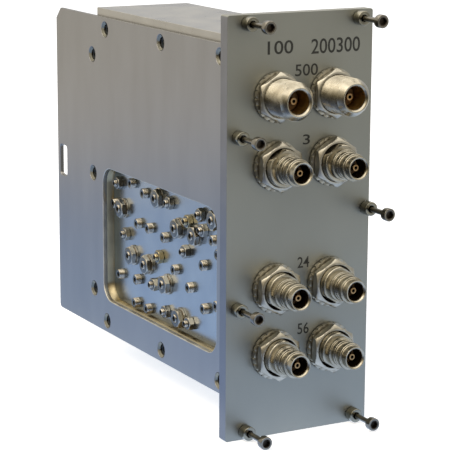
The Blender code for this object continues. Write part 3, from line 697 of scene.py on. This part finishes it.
# Places are (column, row) on a grid over the window: columns from its rear, rows from its foot.
# The sizes are in millimetres.
tunerLook = {
    "columns": 44,
    "rows": 25,
    "large": [(4.5, 17.8), (8.5, 9.8), (14.5, 9.3), (19, 22.3), (22, 7.3), (26.5, 18.3), (27, 2.3),
              (33, 18.3), (40, 22.3)],
    "medium": [(3, 22.3), (6, 13.3), (17.5, 6.3), (22, 2.3), (23.5, 22.3), (29.5, 14.8), (31, 2.3),
               (35, 22.3), (36, 19.8)],
    "brass": [(19.5, 11.8), (30.5, 20.3)],
    "small": [(1.3, 18.2), (3.5, 5.2), (8.5, 23.2), (10, 1.2), (10.5, 5.7), (11, 16.2),
              (13.5, 22.2), (15, 1.2), (15.5, 16.2), (21.5, 15.7), (25.5, 10.7), (31, 8.7),
              (36, 13.7), (36.5, 6.2), (39.5, 18.7), (41, 7.7), (41.5, 16.7)],
    "largeNut": {"washer": 4.75, "washerTop": 0.9, "nut": 4.5, "nutTop": 3.4, "stud": 2.0,
                 "studTop": 4.0, "socket": 1.3},
    "mediumNut": {"washer": 0, "washerTop": 0, "nut": 3.1, "nutTop": 2.6, "stud": 1.6,
                  "studTop": 4.0, "socket": 1.05},
    "smallStud": {"radius": 2.38, "top": 2.5, "socket": 1.1},
    "pitch": 0.5,
    "threadDepth": 0.22,
    "threadInset": 0.1,
    "relief": 0.02,
    "chamfer": 0.35,
    "flare": 1.1,
    "socketEdge": 0.1,
    "socketDepth": 1.2,
    "socketPoint": 1.4,
    "washerEdge": 0.2,
    "nutLift": 0.05,
    "play": 0.03,
    "washerSteps": 28,
    "nutSteps": 36,
    "studSteps": 24,
    "heightSpread": 0.08,
    "seed": 7,
}

# A nut's cut faces: their radius as a share of the flats', and the slopes of its chamfers
nutCut = {"faceShare": 0.96, "rise": 0.58, "spread": 1.72, "steps": 4, "boreSpread": 0.02,
          "boreDrop": 0.03}


def addNut(bm, corner, foot, top, bore, steps, paintedShadeEnds=False):
    # Hexagon nut whose chamfers leave arcs on its flats
    face = corner * cos(pi / 6) * nutCut["faceShare"]
    rings = []
    for k in range(nutCut["steps"] + 1):
        deep = (corner - face) * nutCut["rise"] * k / nutCut["steps"]
        rings.append((hexagon(corner, face + deep * nutCut["spread"]), deep))
    profile = [(bore, foot)] + [(radius, foot + deep) for radius, deep in rings]
    profile += [(radius, top - deep) for radius, deep in reversed(rings)]
    ends = len(profile)
    profile += [(bore + nutCut["boreSpread"] * corner, top),
                (bore, top - nutCut["boreDrop"] * corner)]
    # The nut's top face and bore may take the inner finish, which on the tuners is painted shade
    turn(bm, profile, steps, closed=True, inner=ends - 1 if paintedShadeEnds else None)


def addStud(bm, radius, foot, top, socket, look):
    # Threaded stud with a hexagon socket; its end face is marked with the socket
    end = top - look["chamfer"] * mm
    profile = [(0, foot), (radius, foot)]
    profile += threadRings(radius, radius - look["threadDepth"] * mm, look["pitch"] * mm,
                           foot + look["threadInset"] * mm, end - look["threadInset"] * mm)
    profile += [(radius - look["relief"] * mm, end), (radius - look["chamfer"] * mm, top)]
    start = len(profile) - 1
    wall = hexagon(socket)
    profile += [(socket * look["flare"], top), (wall, top - look["socketEdge"] * mm),
                (wall, top - look["socketDepth"] * mm), (0, top - look["socketPoint"] * mm)]
    turn(bm, profile, look["studSteps"], inner=start)


def tunerShape(kind, look):
    bm = bmesh.new()
    stud, top, socket = kind["stud"] * mm, kind["studTop"] * mm, kind["socket"] * mm
    if kind["washer"]:
        rim, high = kind["washer"] * mm, kind["washerTop"] * mm
        washer = soften([(stud, 0), (rim, 0), (rim, high), (stud, high)],
                        look["washerEdge"] * mm, True, 2)
        turn(bm, washer, look["washerSteps"], closed=True)
    addNut(bm, kind["nut"] * mm, (kind["washerTop"] + look["nutLift"]) * mm, kind["nutTop"] * mm,
           stud, look["nutSteps"], paintedShadeEnds=True)
    addStud(bm, stud - look["play"] * mm, 0, top, socket, look)
    return bm


def smallTunerShape(kind, look):
    bm = bmesh.new()
    addStud(bm, kind["radius"] * mm, 0, kind["top"] * mm, kind["socket"] * mm, look)
    return bm


def makeTuners(look):
    def spots(key):
        places = []
        for column, row in look[key]:
            back = windowHigh[0] - (windowHigh[0] - windowLow[0]) * column / look["columns"]
            up = windowLow[1] + (windowHigh[1] - windowLow[1]) * row / look["rows"]
            places.append(((coverLook["face"], back, up), 0.0, "left"))
        return places
    kinds = (("large", tunerShape(look["largeNut"], look), tunerMetal),
             ("medium", tunerShape(look["mediumNut"], look), tunerMetal),
             ("brass", tunerShape(look["mediumNut"], look), brassMetal),
             ("small", smallTunerShape(look["smallStud"], look), tunerMetal))
    for i, (key, bm, finish) in enumerate(kinds):
        # The ends and sockets take the darker zinc: painted shade
        piece = setFittings(key + "Tuners", bm, spots(key), finish, inner=tunerEndPaintedShade,
                            spin=2 * pi, height=look["heightSpread"], seed=look["seed"] + i)
        seat(piece)


makeTuners(tunerLook)
print("Housing, cover and tuning screws made")


# Captive screws and the sleeves that keep them in the panel

sleeveLook = {"radius": 3.0 * mm, "stand": 4.5 * mm, "neck": 1.45 * mm, "bore": 1.8 * mm,
              "spigot": 2.5 * mm, "lip": 1.5 * mm, "through": 5.5 * mm, "edge": 0.4 * mm,
              "steps": 32}


def makeSleeves(look):
    bm = bmesh.new()
    lip = look["stand"] - look["lip"]
    profile = soften([
        (look["radius"], seatGap), (look["radius"], look["stand"]), (look["neck"], look["stand"]),
        (look["neck"], lip), (look["bore"], lip), (look["bore"], -look["through"]),
        (look["spigot"], -look["through"]), (look["spigot"], seatGap)], look["edge"], True)
    turn(bm, profile, look["steps"], closed=True)
    places = [onPanel(spot) for spot in screwSpots.values()]
    piece = setFittings("screwSleeves", bm, places, sleeveMetal)
    seat(piece, ["screw_sleeve_" + name for name in screwNames])


makeSleeves(sleeveLook)

captiveLook = {"thread": 1.5 * mm, "root": 1.25 * mm, "pitch": 0.5 * mm, "threadBack": -4.9 * mm,
               "threadFront": 2.7 * mm, "shank": 1.15 * mm, "head": 2.75 * mm,
               "threadInset": 0.2 * mm, "headBack": 15.3 * mm, "headFront": 18.3 * mm,
               "socket": 1.7 * mm, "socketEdge": 0.2 * mm, "socketDepth": 1.9 * mm,
               "socketPoint": 0.25 * mm, "flare": 1.12, "edge": 0.35 * mm, "steps": 36}


def makeCaptiveScrews(look):
    wall = hexagon(look["socket"])
    back, front = look["threadBack"], look["threadFront"]
    rim, deep = look["headFront"], look["headFront"] - look["socketDepth"]
    for name, spot in screwSpots.items():
        bm = bmesh.new()
        profile = [(0, back), (look["shank"], back)]
        profile += threadRings(look["thread"], look["root"], look["pitch"],
                               back + look["threadInset"], front - look["threadInset"])
        profile += soften([(look["shank"], front), (look["shank"], look["headBack"]),
                           (look["head"], look["headBack"]), (look["head"], rim),
                           (look["socket"] * look["flare"], rim)], look["edge"])
        start = len(profile) - 1
        profile += [(wall, rim - look["socketEdge"]), (wall, deep),
                    (0, deep - look["socketPoint"])]
        turn(bm, profile, look["steps"], inner=start)
        # The socket takes the dark brown: painted shade
        piece = setFittings("captiveScrew_" + name, bm, [onPanel(spot)], screwMetal,
                            inner=socketPaintedShade)
        seat(piece, ["captive_screw_" + name], "screw_" + name)


makeCaptiveScrews(captiveLook)
print("Captive screws made")


# Coaxial jacks: bodies, lock washers, nuts, insulators and contacts

antennaLook = {"barrel": 7.9 * mm, "root": 7.45 * mm, "pitch": 1.06 * mm, "spigot": 6.0 * mm,
               "reach": 18.8 * mm, "rim": 6.0 * mm, "taper": 2.4 * mm, "chamfer": 0.8 * mm,
               "bore": 4.7 * mm, "edge": 0.35 * mm, "back": -11.5 * mm,
               "threadStart": 0.3 * mm, "threadEnd": 0.2 * mm, "relief": 0.1 * mm,
               "steps": 64}
portLook = {"barrel": 7.9 * mm, "flat": 7.0 * mm, "spigot": 6.0 * mm,
            "barrelReach": 9.3 * mm, "collar": 6.4 * mm, "collarReach": 11.9 * mm,
            "ring": 5.7 * mm, "grooveBack": 14.2 * mm, "tip": 4.8 * mm, "ringBack": 16.6 * mm,
            "ringReach": 18.8 * mm, "reach": 22.0 * mm, "bore": 3.65 * mm, "lip": 0.7 * mm,
            "edge": 0.85 * mm, "back": -11.5 * mm, "steps": 64}
nutLook = {"corner": 10.6 * mm, "foot": 2.4 * mm, "antennaTop": 4.7 * mm, "portTop": 6.4 * mm,
           "bore": 8.0 * mm, "steps": 72}
washerLook = {"radius": 10.4 * mm, "root": 9.95 * mm, "bore": 8.4 * mm, "foot": 0.3 * mm,
              "top": 2.1 * mm, "teeth": 22, "toothShare": 0.86, "toothSteps": 8,
              "twist": 0.15 * mm, "neckShare": 0.985, "turnStep": 5.0}
contactLook = {"antenna": (1.5 * mm, 14.0 * mm, 4.7 * mm),  # radius, front, bore round it
               "port": (1.4 * mm, 19.5 * mm, 3.65 * mm),
               "hole": 0.75 * mm, "holeDepth": 5.0 * mm, "back": -13.5 * mm,
               "beadBack": -11.5 * mm, "beadEdge": 0.3 * mm, "edge": 0.25 * mm,
               "stand": 4.0 * mm, "holeEdge": 0.1 * mm, "steps": 24, "beadSteps": 32}
flatsTurn = {"antenna": 0.0, "upper": -122.0, "middle": -58.0, "lower": -58.0}
shoulder = -5.5 * mm  # where each jack's barrel meets the housing


def antennaOutline(look):
    end, inside = look["reach"] - look["taper"], look["reach"] - look["chamfer"]
    outline = [(look["root"], shoulder)]
    outline += threadRings(look["barrel"], look["root"], look["pitch"],
                           shoulder + look["threadStart"], end - look["threadEnd"])
    return outline + soften([
        (look["root"], end - look["relief"]), (look["barrel"] - look["relief"], end),
        (look["rim"], look["reach"]), (look["bore"] + look["chamfer"], look["reach"]),
        (look["bore"], inside), (look["bore"], look["back"])], look["edge"])


def portOutline(look):
    def flatted(radius):
        return lambda angle: min(radius, look["flat"] / max(1e-6, abs(cos(angle))))
    end = look["barrelReach"]
    barrel = soften([(look["barrel"], shoulder), (look["barrel"], end), (look["collar"], end)],
                    look["edge"])
    return [(flatted(radius), reach) for radius, reach in barrel] + soften([
        (look["collar"], end), (look["collar"], look["collarReach"]),
        (look["ring"], look["collarReach"]), (look["ring"], look["grooveBack"]),
        (look["tip"], look["grooveBack"]), (look["tip"], look["ringBack"]),
        (look["ring"], look["ringBack"]), (look["ring"], look["ringReach"]),
        (look["tip"], look["ringReach"]), (look["tip"], look["reach"]),
        (look["bore"] + look["lip"], look["reach"]),
        (look["bore"], look["reach"] - look["lip"]), (look["bore"], look["back"])], look["edge"])


def makeBodies(kind, look, outline, lining):
    bm = bmesh.new()
    profile = [(look["spigot"], look["back"]), (look["spigot"], shoulder)] + outline
    # The lining starts past the mouth, at the first point that is on the bore
    start = min(i for i, (radius, reach) in enumerate(profile)
                if not callable(radius) and radius <= look["bore"] * 1.001 and reach > 0)
    turn(bm, profile, look["steps"], closed=True, inner=start)
    names = jackKinds[kind]
    places = [onPanel(jackSpots[n], flatsTurn[n.split("_")[0]]) for n in names]
    piece = setFittings(kind + "Jacks", bm, places, nickelMetal, inner=lining)
    seat(piece, ["jack_body_" + name for name in names])


def makeNuts(look):
    for kind, names in jackKinds.items():
        bm = bmesh.new()
        addNut(bm, look["corner"], look["foot"], look[kind + "Top"], look["bore"], look["steps"])
        piece = setFittings(kind + "Nuts", bm, [onPanel(jackSpots[n], 30.0) for n in names],
                            nutMetal)
        seat(piece, ["jack_nut_" + name for name in names])


def makeWashers(look):
    # Teeth round the rim, each twisted out of the washer's plane
    def share(angle):
        return (angle / (2 * pi) * look["teeth"]) % 1.0 / look["toothShare"]

    def rim(angle):
        return look["radius"] if share(angle) < 1 else look["root"]

    def lift(reach):
        return lambda angle: reach + look["twist"] * max(0, 1 - share(angle)) * 2 - look["twist"]
    low, high = look["foot"] + look["twist"], look["top"] - look["twist"]
    neck = look["root"] * look["neckShare"]
    profile = [(look["bore"], low), (neck, low), (rim, lift(low)), (rim, lift(high)),
               (neck, high), (look["bore"], high)]
    bm = bmesh.new()
    turn(bm, profile, look["teeth"] * look["toothSteps"], closed=True)
    places = [onPanel(jackSpots[name], look["turnStep"] * i) for i, name in enumerate(jackNames)]
    piece = setFittings("lockWashers", bm, places, nutMetal)
    seat(piece, ["lock_washer_" + name for name in jackNames])


def makeContacts(look):
    for kind, names in jackKinds.items():
        radius, front, bore = look[kind]
        places = [onPanel(jackSpots[n]) for n in names]
        hole, deep = look["hole"], front - look["holeDepth"]
        profile = soften([(0, look["back"]), (radius, look["back"]), (radius, front),
                          (hole, front)], look["edge"])
        start = len(profile)
        profile += [(hole, front - look["holeEdge"]), (hole, deep), (0, deep)]
        bm = bmesh.new()
        turn(bm, profile, look["steps"], inner=start)
        # The contact's hole takes the near-black plating: painted shade
        piece = setFittings(kind + "Contacts", bm, places, goldMetal, inner=borePaintedShade)
        seat(piece, ["contact_" + name for name in names])
        face, outside, inside = front - look["stand"], bore - seatGap, radius + seatGap
        bm = bmesh.new()
        turn(bm, soften([(outside, look["beadBack"]), (outside, face), (inside, face),
                         (inside, look["beadBack"])], look["beadEdge"], True),
             look["beadSteps"], closed=True)
        # The insulators deep in the bores take the dark brown: painted shade
        piece = setFittings(kind + "Beads", bm, places, beadPaintedShade)
        seat(piece, ["insulator_" + name for name in names])


makeBodies("antenna", antennaLook, antennaOutline(antennaLook), giltMetal)
# The port jacks' bores take the near-black plating: painted shade
makeBodies("port", portLook, portOutline(portLook), borePaintedShade)
makeNuts(nutLook)
makeWashers(washerLook)
makeContacts(contactLook)
print("Jacks made")


# Studio: white floor and backdrop, a soft warm light above, and tinted cards for the metal

studioLook = {
    "floor": -3.8 * mm,
    "floorSize": 5.0,
    "floorTint": "#f2f2f2",
    "floorGlow": 0.55,
    "fill": 0.75,
    "tableHeight": -3.65 * mm,
    "tableRadius": 0.9,
    "tableHub": (-0.06, -0.02),
    "cardSteps": 64,
    # Each card: name, first and last bearing in degrees, and tints by distance or height
    "tables": [
        ("tableCard", 277.0, 450.0, [(0.0, "#b8c4d8"), (0.05, "#a9b8d0"), (0.12, "#9fafc8"),
                                     (0.25, "#a6b0bf"), (0.45, "#a6a8a7"), (1.0, "#b4b0a6")]),
        ("rearTableCard", 90.0, 188.0, [(0.0, "#6e7e9f"), (0.04, "#8698bc"), (0.12, "#8fa2c1"),
                                        (0.3, "#8a9cb8"), (0.58, "#8191ac"), (0.74, "#aaa8a6"),
                                        (1.0, "#bcb5ab")]),
        ("shadeTableCard", 188.0, 277.0, [(0.0, "#6e7e9f"), (0.04, "#7a8bad"), (0.12, "#56617a"),
                                          (0.3, "#3e4148"), (0.6, "#2c2923"), (1.0, "#201d17")]),
    ],
    "tableStrength": 2.2,
    "wallRadius": 0.9,
    "wallTop": 0.8,
    "walls": [
        ("darkWallCard", 185.0, 275.0, [(0.0, "#1c1a15"), (0.08, "#403a2e"), (0.35, "#8a8068"),
                                        (0.8, "#d9d0bc"), (1.0, "#f4ecdc")]),
        ("frontWallCard", 275.0, 360.0, [(0.0, "#a09e98"), (0.4, "#bdb9b0"), (0.8, "#ddd6c8"),
                                         (1.0, "#f4ecdc")]),
        ("sideWallCard", 360.0, 450.0, [(0.0, "#9c9e9f"), (0.4, "#b5b6b9"), (0.8, "#d6d5d2"),
                                        (1.0, "#f4ecdc")]),
        ("rearWallCard", 90.0, 185.0, [(0.0, "#d2ccc0"), (0.5, "#e2dccf"), (1.0, "#f4ecdc")]),
    ],
    "wallStrength": 1.35,
    "skyStrength": 2.2,
    "skyTint": "#fff8ec",
    "keySpot": (-0.75, -0.65, 1.0),
    "keyAim": (0, 0.03, 0.08),
    "keySize": 0.7,
    "keyPower": 14.0,
    "keyTint": "#fff0d8",
}


def cameraShare(tree):
    # One for what the camera sees, straight or in metal and glass, and nought for plain light
    path = addNode(tree, "ShaderNodeLightPath").outputs
    seen = calculate(tree, "MAXIMUM", path["Is Camera Ray"], path["Is Glossy Ray"])
    return calculate(tree, "MAXIMUM", seen, path["Is Transmission Ray"])


def makeWorld(look):
    world = bpy.data.worlds.new("whiteStudio")
    tree = cleared(world)
    plain = addNode(tree, "ShaderNodeBackground", {"Color": plainWhite, "Strength": look["fill"]})
    white = addNode(tree, "ShaderNodeBackground", {"Color": plainWhite, "Strength": 1.0})
    both = addNode(tree, "ShaderNodeMixShader", {0: cameraShare(tree), 1: plain.outputs[0],
                                                 2: white.outputs[0]})
    addNode(tree, "ShaderNodeOutputWorld", {"Surface": both.outputs[0]})
    scene.world = world


def makeFloor(look):
    half, height = look["floorSize"] / 2, look["floor"]
    mesh = bpy.data.meshes.new("studioFloor")
    mesh.from_pydata([(-half, -half, height), (half, -half, height), (half, half, height),
                      (-half, half, height)], [], [(0, 1, 2, 3)])
    material = bpy.data.materials.new("matteWhitePaper")
    tree = cleared(material)
    paper = addNode(tree, "ShaderNodeBsdfDiffuse", {"Color": srgb(look["floorTint"])})
    glow = calculate(tree, "MULTIPLY", cameraShare(tree), look["floorGlow"])
    light = addNode(tree, "ShaderNodeEmission", {"Color": plainWhite, "Strength": glow})
    both = addNode(tree, "ShaderNodeAddShader", {0: paper.outputs[0], 1: light.outputs[0]})
    addNode(tree, "ShaderNodeOutputMaterial", {"Surface": both.outputs[0]})
    mesh.materials.append(material)
    addObject("studioFloor", mesh)


def makeCard(name, bm, stops, strength, reachOf):
    # A card that only metal sees: its colour runs along a distance that reachOf gives
    piece = newPiece(name, bm)
    material = bpy.data.materials.new(name)
    tree = cleared(material)
    place = addNode(tree, "ShaderNodeTexCoord").outputs["Object"]
    ramp = addNode(tree, "ShaderNodeValToRGB", {"Fac": reachOf(tree, place)})
    elements = ramp.color_ramp.elements
    for spot, tint in stops[1:-1]:
        elements.new(spot).color = srgb(tint)
    for stop, (spot, tint) in ((elements[0], stops[0]), (elements[-1], stops[-1])):
        stop.position, stop.color = spot, srgb(tint)
    light = addNode(tree, "ShaderNodeEmission", {"Color": ramp.outputs["Color"],
                                                 "Strength": strength})
    addNode(tree, "ShaderNodeOutputMaterial", {"Surface": light.outputs[0]})
    piece.data.materials.append(material)
    piece.visible_camera = False
    piece.visible_diffuse = False
    piece.visible_transmission = False
    piece.visible_shadow = False


def makeCards(look):
    def fromMiddle(tree, place):
        parts = addNode(tree, "ShaderNodeSeparateXYZ", {0: place}).outputs
        flat = addNode(tree, "ShaderNodeCombineXYZ", {"X": parts["X"], "Y": parts["Y"]})
        far = addNode(tree, "ShaderNodeVectorMath", {0: flat.outputs[0]}, operation="LENGTH")
        return calculate(tree, "DIVIDE", far.outputs["Value"], look["tableRadius"])

    def fromTable(tree, place):
        parts = addNode(tree, "ShaderNodeSeparateXYZ", {0: place}).outputs
        return calculate(tree, "DIVIDE", parts["Z"], look["wallTop"])

    steps = look["cardSteps"] - 1

    def ring(bm, height, first=0, last=360 - 360 / look["cardSteps"]):
        spots = arc((0, 0), look["wallRadius"], first, last, steps)
        return [bm.verts.new((a, b, height)) for a, b in spots]

    for name, start, end, stops in look["tables"]:
        table = bmesh.new()
        hub = table.verts.new((*look["tableHub"], look["tableHeight"]))
        table.faces.new([hub] + ring(table, look["tableHeight"], start, end))
        makeCard(name, table, stops, look["tableStrength"], fromMiddle)
    for name, start, end, stops in look["walls"]:
        wall = bmesh.new()
        low, high = (ring(wall, height, start, end)
                     for height in (look["tableHeight"], look["wallTop"]))
        for k in range(steps):
            wall.faces.new((low[k], low[k + 1], high[k + 1], high[k]))
        makeCard(name, wall, stops, look["wallStrength"], fromTable)
    sky = bmesh.new()
    sky.faces.new(ring(sky, look["wallTop"]))
    makeCard("skyCard", sky, [(0.0, look["skyTint"]), (1.0, look["skyTint"])],
             look["skyStrength"], fromMiddle)


def makeKeyLamp(look):
    lamp = bpy.data.lights.new("keySoftbox", "AREA")
    lamp.size = look["keySize"]
    lamp.energy = look["keyPower"]
    lamp.color = srgb(look["keyTint"])[:3]
    spot, target = Vector(look["keySpot"]), Vector(look["keyAim"])
    aim = (target - spot).to_track_quat("-Z", "Y").to_matrix().to_4x4()
    addObject("keySoftbox", lamp).matrix_world = Matrix.Translation(spot) @ aim


makeWorld(studioLook)
makeFloor(studioLook)
makeCards(studioLook)
makeKeyLamp(studioLook)
print("Studio made")


# Camera, as solved from the photo's straight edges

cameraLook = {"spot": (-397.45, -663.9, 252.0), "yaw": 28.84, "pitch": 12.24, "roll": 0.28,
              "lens": 152.1}


def makeCamera(look):
    yaw, pitch, roll = radians(look["yaw"]), radians(look["pitch"]), radians(look["roll"])
    ahead = Vector((sin(yaw) * cos(pitch), cos(yaw) * cos(pitch), -sin(pitch)))
    right = Vector((cos(yaw), -sin(yaw), 0))
    up = right.cross(ahead)
    across = right * cos(roll) + up * sin(roll)
    above = up * cos(roll) - right * sin(roll)
    data = bpy.data.cameras.new("camera")
    data.lens = look["lens"]
    data.sensor_width = 36
    data.clip_start = 0.01
    camera = addObject("camera", data)
    turned = Matrix((across, above, -ahead)).transposed().to_4x4()
    camera.matrix_world = Matrix.Translation(Vector(look["spot"]) * mm) @ turned
    scene.camera = camera


makeCamera(cameraLook)
scene.view_settings.view_transform = "Standard"
